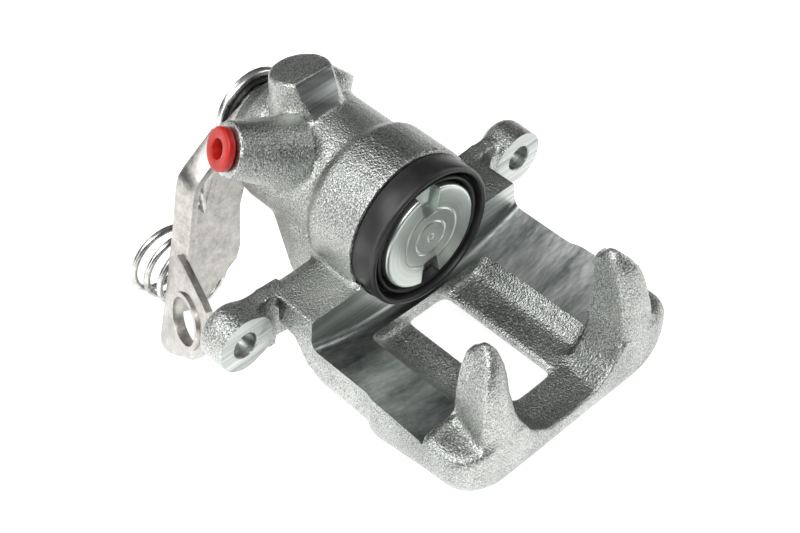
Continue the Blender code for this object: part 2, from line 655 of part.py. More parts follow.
def bracket():
    """Cable bracket: a plate with a folded edge and a tab that holds the cable's end."""
    front, back = SHOULDER_FACE + GAP, SHOULDER_FACE + GAP + SHEET
    fold = [(-20.2, 7.2), (-25.8, 3.6), (-32.6, -0.9), (-35.4, -3.4), (-36.9, -7), (-40.6, -24.4),
            (-43.6, -36)]
    inner_fold = offset_inward(fold, SHEET)
    outline = [(-16, 6.2)] + offset_inward(fold, 0.8)[1:-1] + [
        (-43.4, -38), (-47.4, -54), (-45, -60), (-34.1, -61.8), (-22, -54), (-18.1, -51.8),
        (-16.1, -46.9), (-14.3, -29.1), (-9, -15.2), (-2, -12.8), (4, -11), (8.6, -7.8), (11, -3.6),
        (11.6, 1), (10.4, 5.4), (7.2, 9.2), (2.6, 11.4), (-2, 11.5), (-7.5, 9.8)]
    plate = along_y("bracket", outline, front, back)
    flange = along_y("flange", fold + inner_fold[::-1], front - FLANGE, back - 0.2)
    across = Vector(TAB_NORMAL).cross(Vector((0, 0, 1))).normalized()
    up = across.cross(Vector(TAB_NORMAL)).normalized()
    tab_outline = [(16.6, 14), (12, 18.5), (7.5, 18), (-6.8, 14.7), (-11.2, 13.2), (-12.7, 5),
                   (-12.3, -4), (-6.9, -11.5), (8.7, -22.4), (13, -24), (15.6, -23.6), (16.6, -20.1)]
    tab = plate_on("tab", TAB_CENTRE, across, up, tab_outline, SHEET)
    lip = pointed(rod("lip", CABLE_HOLE_RADIUS + 1.6, -SHEET + 0.4, 1.3, MIDDLE_ROUND), TAB_CENTRE, TAB_NORMAL)
    hole = pointed(rod("cable_hole", CABLE_HOLE_RADIUS, -10, 10, MIDDLE_ROUND), TAB_CENTRE, TAB_NORMAL)
    slot = [(-32.4, -4.8), (-25.1, -6.9), (-23.6, -9.8), (-28.4, -21), (-32.2, -19.6), (-33, -12)]
    body = cut(joined(plate, flange, tab, lip), hole,
               along_y("slot", slot, front - 1, back + 2),
               rod("neck_hole", NECK_RADIUS + GAP, front - 10, back + 5, ROUND))
    body.name = "cable_bracket"
    finish(body, material("bracket_steel", (0.6, 0.58, 0.54), 0.38, 0.9))


def lock_ring():
    """Ring that clamps the bracket on the casting's neck."""
    start = SHOULDER_FACE + SHEET + 2 * GAP
    ring = tube("bracket_ring", NECK_RADIUS + GAP, NECK_RADIUS + 2.2, start, NECK_END - 0.4)
    finish(ring, steel("bracket_ring_steel", 0.35))


def lever():
    """Dished hub on the shaft and an arm that steps forward to the cable's line."""
    front, back = LEVER_FACE, LEVER_FACE + LEVER_SHEET
    hub = turned("lever", [
        (front, SHAFT_RADIUS - 1.2 + GAP), (front, HUB_RADIUS - 2), (front - 1.2, HUB_RADIUS - 2),
        (front - 1.2, HUB_RADIUS - 0.5), (front - 0.6, HUB_RADIUS), (front + 1.2, HUB_RADIUS),
        (back, HUB_RADIUS - 3.5), (back, SHAFT_RADIUS - 1.2 + GAP)])
    upper = [(5, -8), (22, -4), (25, -30), (25, -44), (9, -44), (7, -30)]
    arm = along_y("arm", upper, front, back)
    step = along_x("step", [(front + 0.1, -42), (back - 0.1, -41.8), (back - LEVER_STEP - 0.1, -54),
                            (front - LEVER_STEP + 0.1, -54.2)], 9.2, 24.8)
    end = along_y("end", [(9, -52), (25, -52), (25, -66), (20, -70), (14, -70), (9, -66)],
                  front - LEVER_STEP, back - LEVER_STEP)
    body = joined(hub, arm, step, end)
    hook_hole = moved(rod("hook_hole", 4.0, front - 20, back + 5), (17, 0, -LEVER_REACH))
    slot = box("hook_slot", (6, front - 20, -LEVER_REACH - 2.2), (17, back, -LEVER_REACH + 2.2))
    lug_hole = moved(rod("lug_hole", RETURN_WIRE / 2 + 0.4, front - 5, back + 5, 16), (LUG[0], 0, LUG[1]))
    body = cut(body, hook_hole, slot, lug_hole)
    finish(body, steel("lever_steel", 0.5))
    nut_start = back + GAP
    nut_outline = circle(LEVER_NUT_RADIUS, 6)
    nut = along_y("lever_nut", nut_outline, nut_start, nut_start + LEVER_NUT_HEIGHT)
    finish(cut(nut, rod("thread", SHAFT_RADIUS - 1.2 + GAP, nut_start - 1, nut_start + 10)),
           steel("lever_nut_steel", 0.45))


def return_spring():
    """Hairpin spring: its coil hangs behind the bracket, one leg in the bracket, one in the lever."""
    start = SHOULDER_FACE + GAP + SHEET + RETURN_WIRE / 2 + GAP
    end = start + RETURN_PITCH * RETURN_TURNS
    steps = int(RETURN_TURNS * 20)
    front_leg = [(-30.5, start - 6.2, -19), (-30.8, start - 6.4, -13), (-30.6, start - 6.0, -9.4),
                 (-30.4, start - 4.2, -7.7), (-30.6, start - 0.9, -8.2), (-31.6, start, -11),
                 (-38, start, -30), (-43.4, start, -43)]
    coil = []
    for i in range(steps + 1):
        angle = math.pi + 2 * math.pi * RETURN_TURNS * i / steps
        back = (end - start) * i / steps
        cx, cz = (c + back * lean for c, lean in zip(RETURN_CENTRE, RETURN_LEAN))
        coil.append((cx + RETURN_RADIUS * math.cos(angle), start + back, cz + RETURN_RADIUS * math.sin(angle)))
    behind_lever = LEVER_FACE + LEVER_SHEET + RETURN_WIRE / 2 + GAP
    rear_leg = [(cx + RETURN_RADIUS + 0.6, end, cz + 8), (LUG[0] - 1.5, behind_lever + 0.8, LUG[1] - 8),
                (LUG[0] - 0.2, behind_lever + 0.3, LUG[1] - 1.2), (LUG[0], behind_lever - 1.0, LUG[1]),
                (LUG[0], LEVER_FACE + 0.5, LUG[1])]
    path = front_leg + coil + rear_leg
    finish(swept("return_spring", path, RETURN_WIRE / 2), steel("spring_steel", 0.55, 0.2))


def port_plug():
    """Red transport plug in the hose port."""
    reach = PORT_DEPTH - 6
    neck = PORT_BORE - GAP
    plug = turned("port_plug", [
        (-reach, 0), (-reach, neck - 0.8), (-reach + 2, neck), (PLUG_SEAT, neck), (PLUG_SEAT, 6.5), (0.9, 6.9),
        (2.6, 6.9), (3.2, 6.4), (3.2, 3.3), (2.6, 3.1), (-reach + 2.5, 2.7), (-reach + 2.5, 0)], MIDDLE_ROUND)
    turn = Vector((0, 1, 0)).rotation_difference(Vector(PORT_AXIS)).to_matrix().to_4x4()
    plug.data.transform(turn)
    plug.location = Vector(PORT_END) * MM
    finish(plug, material("red_plastic", (0.75, 0.03, 0.03), 0.4, 0.0))


def build():
    clear_scene()
    casting()
    piston()
    piston_seal()
    dust_boot()
    boot_ring()
    screw_end = adjuster()
    adjuster_spring(screw_end)
    spring_cage()
    plate_end = ramp_plates(screw_end)
    shaft_group(plate_end)
    bracket()
    lock_ring()
    lever()
    return_spring()
    port_plug()


build()
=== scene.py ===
import math

import bpy
import numpy as np
from mathutils import Matrix, Vector


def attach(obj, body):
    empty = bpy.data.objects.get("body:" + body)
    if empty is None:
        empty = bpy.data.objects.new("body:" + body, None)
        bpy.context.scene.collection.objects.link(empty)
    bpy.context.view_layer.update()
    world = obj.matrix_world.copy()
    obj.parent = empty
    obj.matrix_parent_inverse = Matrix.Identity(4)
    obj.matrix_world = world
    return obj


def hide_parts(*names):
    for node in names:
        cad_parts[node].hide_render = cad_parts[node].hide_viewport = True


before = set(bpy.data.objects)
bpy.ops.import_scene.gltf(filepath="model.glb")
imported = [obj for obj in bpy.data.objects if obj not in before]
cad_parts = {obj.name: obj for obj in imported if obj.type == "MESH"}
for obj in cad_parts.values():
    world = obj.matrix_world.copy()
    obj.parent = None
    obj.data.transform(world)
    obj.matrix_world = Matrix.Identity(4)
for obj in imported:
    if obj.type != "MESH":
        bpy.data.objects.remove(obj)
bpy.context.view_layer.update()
mm = 0.001


# helpers

def deselectAll():
    if bpy.context.object and bpy.context.object.mode != "OBJECT":
        bpy.ops.object.mode_set(mode="OBJECT")
    bpy.ops.object.select_all(action="DESELECT")


def pick(piece):
    deselectAll()
    piece.select_set(True)
    bpy.context.view_layer.objects.active = piece


def applyPlace(piece):
    pick(piece)
    bpy.ops.object.transform_apply(location=True, rotation=True, scale=True)


def copyOfNode(nodeName, newName):
    # a free copy of a CAD node, with its loose triangles merged
    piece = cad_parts[nodeName].copy()
    piece.data = piece.data.copy()
    piece.parent = None
    piece.matrix_world = Matrix.Identity(4)
    piece.name = newName
    piece.data.name = newName
    piece.hide_render = False
    bpy.context.collection.objects.link(piece)
    pick(piece)
    bpy.ops.object.mode_set(mode="EDIT")
    bpy.ops.mesh.select_all(action="SELECT")
    bpy.ops.mesh.remove_doubles(threshold=0.000002)
    bpy.ops.mesh.customdata_custom_splitnormals_clear()
    bpy.ops.object.mode_set(mode="OBJECT")
    return piece


def applyModifier(piece, kind, **settings):
    pick(piece)
    modifier = piece.modifiers.new("work", kind)
    for key, value in settings.items():
        setattr(modifier, key, value)
    bpy.ops.object.modifier_apply(modifier=modifier.name)


def booleanWith(piece, tool, operation="DIFFERENCE"):
    applyModifier(piece, "BOOLEAN", operation=operation, object=tool, solver="EXACT")
    bpy.data.objects.remove(tool, do_unlink=True)


def boxTool(low, high):
    deselectAll()
    low, high = Vector(low) * mm, Vector(high) * mm
    bpy.ops.mesh.primitive_cube_add(size=1, location=(low + high) / 2)
    tool = bpy.context.object
    tool.scale = high - low
    applyPlace(tool)
    return tool


def ringPiece(name, profile, sides=96, closed=True):
    # rings of (y, radius) extruded one from another about the Y axis, all in mm
    deselectAll()
    startY, startR = profile[0]
    bpy.ops.mesh.primitive_circle_add(vertices=sides, radius=startR * mm, location=(0, startY * mm, 0),
                                      rotation=(math.radians(90), 0, 0))
    piece = bpy.context.object
    piece.name = name
    piece.data.name = name
    applyPlace(piece)
    bpy.ops.object.mode_set(mode="EDIT")
    bpy.ops.mesh.select_all(action="SELECT")
    steps = profile[1:] + (profile[:1] if closed else [])
    for (y0, r0), (y1, r1) in zip(profile, steps):
        bpy.ops.mesh.extrude_region_move()
        bpy.ops.transform.translate(value=(0, (y1 - y0) * mm, 0))
        bpy.ops.transform.resize(value=(r1 / r0, 1, r1 / r0), center_override=(0, y1 * mm, 0))
    bpy.ops.mesh.select_all(action="SELECT")
    bpy.ops.mesh.remove_doubles(threshold=0.000001)
    bpy.ops.mesh.normals_make_consistent(inside=False)
    bpy.ops.object.mode_set(mode="OBJECT")
    return piece


def pointAlong(piece, end, axis):
    # turns a piece made along +Y to point along axis, with its origin moved to end
    turn = Vector((0, 1, 0)).rotation_difference(Vector(axis))
    piece.rotation_mode = "QUATERNION"
    piece.rotation_quaternion = turn
    piece.location = Vector(end) * mm
    applyPlace(piece)
    piece.rotation_mode = "XYZ"
    return piece


def closeEnds(piece):
    pick(piece)
    bpy.ops.object.mode_set(mode="EDIT")
    bpy.ops.mesh.select_all(action="DESELECT")
    bpy.ops.mesh.select_mode(type="EDGE")
    bpy.ops.mesh.select_non_manifold(extend=False, use_wire=True, use_boundary=True)
    bpy.ops.mesh.edge_face_add()
    bpy.ops.mesh.select_all(action="SELECT")
    bpy.ops.mesh.fill_holes(sides=0)
    bpy.ops.mesh.normals_make_consistent(inside=False)
    bpy.ops.object.mode_set(mode="OBJECT")


def moveBy(piece, shift):
    piece.location = Vector(shift) * mm
    applyPlace(piece)


def smoothByAngle(piece, degrees):
    pick(piece)
    bpy.ops.object.shade_smooth_by_angle(angle=math.radians(degrees))


def give(piece, material, body, nodes):
    piece.data.materials.clear()
    piece.data.materials.append(material)
    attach(piece, body)
    if nodes:
        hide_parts(*nodes)


# node helpers

def newMaterial(name):
    material = bpy.data.materials.new(name)
    material.use_nodes = True
    tree = material.node_tree
    return material, tree, tree.nodes["Principled BSDF"]


def ramp(tree, fac, stops):
    node = tree.nodes.new("ShaderNodeValToRGB")
    node.color_ramp.elements[0].position = stops[0][0]
    node.color_ramp.elements[0].color = (*stops[0][1], 1)
    node.color_ramp.elements[1].position = stops[-1][0]
    node.color_ramp.elements[1].color = (*stops[-1][1], 1)
    for position, colour in stops[1:-1]:
        node.color_ramp.elements.new(position).color = (*colour, 1)
    tree.links.new(fac, node.inputs["Fac"])
    return node.outputs["Color"]


def mathNode(tree, operation, a, b=None, clamp=False):
    node = tree.nodes.new("ShaderNodeMath")
    node.operation = operation
    node.use_clamp = clamp
    for socket, value in zip(node.inputs, (a, b)):
        if value is None:
            continue
        if isinstance(value, (int, float)):
            socket.default_value = value
        else:
            tree.links.new(value, socket)
    return node.outputs[0]


def mixColour(tree, fac, a, b):
    node = tree.nodes.new("ShaderNodeMix")
    node.data_type = "RGBA"
    for socket, value in ((node.inputs[0], fac), (node.inputs[6], a), (node.inputs[7], b)):
        if isinstance(value, (int, float)):
            socket.default_value = value
        elif isinstance(value, tuple):
            socket.default_value = (*value, 1)
        else:
            tree.links.new(value, socket)
    return node.outputs[2]


def mixValue(tree, fac, a, b):
    node = tree.nodes.new("ShaderNodeMix")
    for socket, value in ((node.inputs[0], fac), (node.inputs[2], a), (node.inputs[3], b)):
        if isinstance(value, (int, float)):
            socket.default_value = value
        else:
            tree.links.new(value, socket)
    return node.outputs[0]


def noise(tree, coords, scale, detail=3.0, roughness=0.55):
    node = tree.nodes.new("ShaderNodeTexNoise")
    node.inputs["Scale"].default_value = scale
    node.inputs["Detail"].default_value = detail
    node.inputs["Roughness"].default_value = roughness
    tree.links.new(coords, node.inputs["Vector"])
    return node.outputs["Fac"]


def stretched(tree, coords, scale):
    node = tree.nodes.new("ShaderNodeMapping")
    node.inputs["Scale"].default_value = scale
    tree.links.new(coords, node.inputs["Vector"])
    return node.outputs["Vector"]


def objectCoords(tree):
    return tree.nodes.new("ShaderNodeTexCoord").outputs["Object"]


def newGroup(name, inputs, outputs):
    group = bpy.data.node_groups.new(name, "ShaderNodeTree")
    for label, kind, default in inputs:
        socket = group.interface.new_socket(name=label, in_out="INPUT", socket_type=kind)
        socket.default_value = default
    for label, kind in outputs:
        group.interface.new_socket(name=label, in_out="OUTPUT", socket_type=kind)
    start = group.nodes.new("NodeGroupInput")
    end = group.nodes.new("NodeGroupOutput")
    return group, start, end


def useGroup(tree, group, **values):
    node = tree.nodes.new("ShaderNodeGroup")
    node.node_tree = group
    for key, value in values.items():
        socket = node.inputs[key]
        if hasattr(value, "links"):
            tree.links.new(value, socket)
        else:
            socket.default_value = value
    return node


skinGrain = {"dimples": (1250, 0.6), "grit": (2300, 0.25), "swell": (240, 0.15)}     # scale and height of each


def makeCastGroup():
    # orange-peel skin of a plated casting: soft dimples with fine grit between them
    group, start, end = newGroup("castSkin", [("Vector", "NodeSocketVector", (0, 0, 0)),
                                              ("Size", "NodeSocketFloat", 1.0)],
                                 [("Height", "NodeSocketFloat"), ("Sparkle", "NodeSocketFloat")])
    scaled = group.nodes.new("ShaderNodeVectorMath")
    scaled.operation = "SCALE"
    group.links.new(start.outputs["Vector"], scaled.inputs[0])
    group.links.new(start.outputs["Size"], scaled.inputs["Scale"])
    coords = scaled.outputs[0]
    dimples = noise(group, coords, skinGrain["dimples"][0], 2.0, 0.5)
    grit = noise(group, coords, skinGrain["grit"][0], 2.0, 0.6)
    swell = noise(group, coords, skinGrain["swell"][0], 2.0, 0.5)
    height = mathNode(group, "ADD", mathNode(group, "MULTIPLY", dimples, skinGrain["dimples"][1]),
                      mathNode(group, "MULTIPLY", grit, skinGrain["grit"][1]))
    height = mathNode(group, "ADD", height, mathNode(group, "MULTIPLY", swell, skinGrain["swell"][1]))
    sparkle = mathNode(group, "MULTIPLY", mathNode(group, "SUBTRACT", grit, 0.5), 3.0)
    group.links.new(height, end.inputs["Height"])
    group.links.new(mathNode(group, "ADD", sparkle, 0.5, clamp=True), end.inputs["Sparkle"])
    return group


def makeStreakGroup():
    # fine tool marks that run along one axis
    group, start, end = newGroup("toolMarks", [("Vector", "NodeSocketVector", (0, 0, 0))],
                                 [("Marks", "NodeSocketFloat"), ("Bands", "NodeSocketFloat")])
    coords = start.outputs["Vector"]
    group.links.new(noise(group, coords, 900, 3.0, 0.65), end.inputs["Marks"])
    group.links.new(noise(group, coords, 160, 2.0, 0.5), end.inputs["Bands"])
    return group


castSkin = makeCastGroup()
toolMarks = makeStreakGroup()


def bumpInto(tree, shader, height, strength, distance):
    node = tree.nodes.new("ShaderNodeBump")
    node.inputs["Strength"].default_value = strength
    node.inputs["Distance"].default_value = distance
    tree.links.new(height, node.inputs["Height"])
    tree.links.new(node.outputs["Normal"], shader.inputs["Normal"])


# materials

castLook = {
    "dark": (0.17, 0.18, 0.17), "pale": (0.68, 0.695, 0.67),
    "machinedDark": (0.24, 0.265, 0.255), "machinedPale": (0.76, 0.79, 0.77),
    "bump": 1.0, "bumpHeight": 0.0006, "roughness": (0.26, 0.4), "machinedRoughness": (0.26, 0.42),
}


def makeCastMaterial():
    # plated iron: the "machined" attribute is 1 on cut faces and 0 on the cast skin
    material, tree, shader = newMaterial("zincCasting")
    coords = objectCoords(tree)
    skin = useGroup(tree, castSkin, Vector=coords)
    lines = useGroup(tree, toolMarks, Vector=stretched(tree, coords, (0.02, 1.0, 1.0)))
    cutFaces = tree.nodes.new("ShaderNodeAttribute")
    cutFaces.attribute_name = "machined"
    mask = cutFaces.outputs["Fac"]
    patches = noise(tree, coords, 38, 3.0)
    tone = mathNode(tree, "ADD", mathNode(tree, "MULTIPLY", patches, 0.55),
                    mathNode(tree, "MULTIPLY", skin.outputs["Sparkle"], 0.45))
    castColour = ramp(tree, tone, [(0.3, castLook["dark"]), (0.72, castLook["pale"])])
    lineTone = mathNode(tree, "ADD", mathNode(tree, "MULTIPLY", lines.outputs["Marks"], 0.45),
                        mathNode(tree, "MULTIPLY", lines.outputs["Bands"], 0.55))
    cutColour = ramp(tree, lineTone, [(0.34, castLook["machinedDark"]), (0.66, castLook["machinedPale"])])
    tree.links.new(mixColour(tree, mask, castColour, cutColour), shader.inputs["Base Color"])
    low, high = castLook["roughness"]
    castRough = mixValue(tree, patches, low, high)
    low, high = castLook["machinedRoughness"]
    cutRough = mixValue(tree, lines.outputs["Marks"], low, high)
    tree.links.new(mixValue(tree, mask, castRough, cutRough), shader.inputs["Roughness"])
    height = mixValue(tree, mask, skin.outputs["Height"],
                      mathNode(tree, "MULTIPLY", lines.outputs["Marks"], 0.1))
    bumpInto(tree, shader, height, castLook["bump"], castLook["bumpHeight"])
    shader.inputs["Metallic"].default_value = 1.0
    return material


def makeMetal(name, dark, pale, roughness, bump=0.25, spots=60, size=420):
    # smooth metal with soft patches, fine scratches and a little grain
    material, tree, shader = newMaterial(name)
    coords = objectCoords(tree)
    patches = noise(tree, coords, spots, 3.0)
    fine = noise(tree, coords, size, 3.0, 0.6)
    tone = mathNode(tree, "ADD", mathNode(tree, "MULTIPLY", patches, 0.5),
                    mathNode(tree, "MULTIPLY", fine, 0.5))
    tree.links.new(ramp(tree, tone, [(0.35, dark), (0.65, pale)]), shader.inputs["Base Color"])
    low, high = roughness
    tree.links.new(mixValue(tree, fine, low, high), shader.inputs["Roughness"])
    bumpInto(tree, shader, fine, bump, 0.00012)
    shader.inputs["Metallic"].default_value = 1.0
    return material


def makePistonMaterial():
    # turned zinc face: faint circles round the axis over soft patches
    material, tree, shader = newMaterial("pistonZinc")
    coords = objectCoords(tree)
    rings = tree.nodes.new("ShaderNodeTexWave")
    rings.wave_type = "RINGS"
    rings.rings_direction = "Y"
    rings.inputs["Scale"].default_value = 180
    rings.inputs["Distortion"].default_value = 1.2
    rings.inputs["Detail"].default_value = 3.0
    tree.links.new(coords, rings.inputs["Vector"])
    patches = noise(tree, coords, 55, 3.0)
    tone = mathNode(tree, "ADD", mathNode(tree, "MULTIPLY", patches, 0.8),
                    mathNode(tree, "MULTIPLY", rings.outputs["Fac"], 0.1))
    tree.links.new(ramp(tree, tone, [(0.3, (0.56, 0.61, 0.58)), (0.75, (0.76, 0.81, 0.77))]),
                   shader.inputs["Base Color"])
    tree.links.new(mixValue(tree, patches, 0.26, 0.4), shader.inputs["Roughness"])
    bumpInto(tree, shader, patches, 0.12, 0.0001)
    shader.inputs["Metallic"].default_value = 1.0
    return material


def makeRubber(name, base, roughness):
    material, tree, shader = newMaterial(name)
    coords = objectCoords(tree)
    dust = noise(tree, coords, 90, 4.0)
    grain = noise(tree, coords, 1400, 2.0)
    pale = tuple(c * 1.9 + 0.006 for c in base)
    tree.links.new(ramp(tree, dust, [(0.4, base), (0.75, pale)]), shader.inputs["Base Color"])
    low, high = roughness
    tree.links.new(mixValue(tree, dust, low, high), shader.inputs["Roughness"])
    bumpInto(tree, shader, grain, 0.2, 0.00008)
    return material


def makePlastic():
    material, tree, shader = newMaterial("redPlastic")
    coords = objectCoords(tree)
    cloud = noise(tree, coords, 160, 3.0)
    grain = noise(tree, coords, 900, 2.0)
    tree.links.new(ramp(tree, cloud, [(0.35, (0.36, 0.006, 0.003)), (0.7, (0.5, 0.012, 0.006))]),
                   shader.inputs["Base Color"])
    tree.links.new(mixValue(tree, grain, 0.3, 0.45), shader.inputs["Roughness"])
    bumpInto(tree, shader, grain, 0.15, 0.00008)
    return material


zincCasting = makeCastMaterial()
pistonZinc = makePistonMaterial()
bootRubber = makeRubber("bootRubber", (0.012, 0.012, 0.013), (0.32, 0.46))
sealRubber = makeRubber("sealRubber", (0.02, 0.02, 0.02), (0.4, 0.55))
plainSteel = makeMetal("plainSteel", (0.5, 0.5, 0.49), (0.72, 0.72, 0.7), (0.2, 0.36))
darkSteel = makeMetal("darkSteel", (0.24, 0.24, 0.24), (0.42, 0.42, 0.41), (0.25, 0.42))
ballSteel = makeMetal("ballSteel", (0.66, 0.66, 0.66), (0.78, 0.78, 0.77), (0.06, 0.12), bump=0.05)
springWire = makeMetal("springWire", (0.28, 0.28, 0.27), (0.78, 0.78, 0.75), (0.16, 0.34), spots=140)
bronze = makeMetal("bronze", (0.42, 0.29, 0.14), (0.62, 0.46, 0.25), (0.3, 0.45))
bracketSteel = makeMetal("bracketSteel", (0.34, 0.33, 0.305), (0.6, 0.585, 0.545), (0.24, 0.42), spots=240,
                         size=900)
leverSteel = makeMetal("leverSteel", (0.48, 0.49, 0.48), (0.72, 0.73, 0.71), (0.2, 0.36), spots=110)
redPlastic = makePlastic()
print("materials made")


# casting

casting = {
    "voxel": 0.00085, "smoothing": 7, "softening": 22, "stock": 3.0,
    "faceY": -44.0, "wallY": 6.0, "floorRadius": 123.0, "floorZ": -28.7, "wallFillet": 3.0,
    "windowHalf": 25.6, "windowBack": 1.9,
    "earX": 59.2, "earZ": -17.6, "earFace": 18.5, "earHole": 4.4,
    "portEnd": (-35.0, 51.4, 24.9), "portAxis": (-0.862, 0.264, 0.43), "portHole": 4.45,
    "spotPoint": (0.0, 51.35, 33.51), "spotAxis": (0.0, -0.86, 0.51),
    "bossTop": (0.0, 57.4, 32.3), "bossAxis": (0.03, 0.21, 0.977), "barrelRadius": 22.9,
    # boot seat, bore, seal groove, bore again, mechanism and shaft, each as (y, radius)
    "bores": [(-5, 24.9), (8.99, 24.9), (8.99, 22.0), (11, 22.0), (11, 19.05), (13.95, 19.05), (13.95, 22.3),
              (17.55, 22.3), (17.55, 19.05), (52.1, 19.05), (52.1, 13.0), (68, 13.0), (68, 7.5), (86, 7.5)],
}


def addStock(body, shift, low, high):
    # a shifted copy, kept inside a box, adds material that the cutters take off again
    extra = copyOfNode("caliper_body", "stock")
    extra.location = Vector(shift) * mm
    applyPlace(extra)
    booleanWith(extra, boxTool(low, high), "INTERSECT")
    deselectAll()
    extra.select_set(True)
    body.select_set(True)
    bpy.context.view_layer.objects.active = body
    bpy.ops.object.join()


def discCutter():
    c = casting
    bpy.ops.object.select_all(action="DESELECT")
    depth = c["wallY"] - c["faceY"]
    bpy.ops.mesh.primitive_cylinder_add(vertices=720, radius=c["floorRadius"] * mm, depth=depth * mm,
                                        location=(0, (c["wallY"] + c["faceY"]) / 2 * mm,
                                                  (c["floorZ"] + c["floorRadius"]) * mm),
                                        rotation=(math.radians(90), 0, 0))
    tool = bpy.context.object
    applyPlace(tool)
    bpy.ops.object.mode_set(mode="EDIT")
    bpy.ops.mesh.select_mode(type="EDGE")
    bpy.ops.mesh.select_all(action="DESELECT")
    bpy.ops.object.mode_set(mode="OBJECT")
    for edge in tool.data.edges:
        ends = [tool.data.vertices[i].co.y for i in edge.vertices]
        edge.select = min(ends) > (c["wallY"] - 0.1) * mm
    bpy.ops.object.mode_set(mode="EDIT")
    bpy.ops.mesh.bevel(offset=c["wallFillet"] * mm, segments=5, profile=0.5)
    bpy.ops.object.mode_set(mode="OBJECT")
    return tool


def machinedMask(body):
    # marks the faces that lie on a cut surface
    c = casting
    mesh = body.data
    count = len(mesh.polygons)
    centres = np.empty(count * 3, dtype=np.float32)
    mesh.polygons.foreach_get("center", centres)
    centres = centres.reshape(-1, 3) / mm
    normals = np.empty(count * 3, dtype=np.float32)
    mesh.polygons.foreach_get("normal", normals)
    normals = normals.reshape(-1, 3)
    x, y, z = centres.T
    nx, ny, nz = normals.T
    between = (y > c["faceY"] - 0.05) & (y < c["wallY"] + 0.05)
    axisZ = c["floorZ"] + c["floorRadius"]
    radius = np.hypot(x, z - axisZ)
    floor = between & (radius > c["floorRadius"] - 0.12) & (nz > 0.8) & (radius < c["floorRadius"] + 0.12)
    fillet = (y > c["wallY"] - c["wallFillet"] - 0.1) & (y < c["wallY"] + 0.03) & (z < -9) & (
        radius < c["floorRadius"] + 0.1) & (ny < 0.2) & (z > c["floorZ"] - 0.5)
    pads = (np.abs(y - c["faceY"]) < 0.04) & (ny > 0.98)
    ears = (np.abs(y - c["earFace"]) < 0.04) & (ny < -0.98) & (np.abs(x) > 45)
    holes = (np.hypot(np.abs(x) - c["earX"], z - c["earZ"]) < c["earHole"] + 0.3) & (np.abs(ny) < 0.5)
    spotAxis = Vector(c["spotAxis"]).normalized()
    toSpot = (centres - np.array(c["spotPoint"])) @ np.array(spotAxis)
    spot = (np.abs(toSpot) < 0.05) & (normals @ np.array(spotAxis) > 0.98) & (z > 20)
    portAxis = Vector(c["portAxis"]).normalized()
    toPort = (centres - np.array(c["portEnd"])) @ np.array(portAxis)
    port = (np.abs(toPort) < 0.06) & (normals @ np.array(portAxis) > 0.98)
    bore = (np.hypot(x, z) < 22.4) & (y > 8.9) & (y < 70) & (nx * x + nz * z < 1)
    mask = floor | fillet | pads | ears | holes | spot | port | bore
    attribute = mesh.attributes.new("machined", "FLOAT", "FACE")
    attribute.data.foreach_set("value", mask.astype(np.float32))


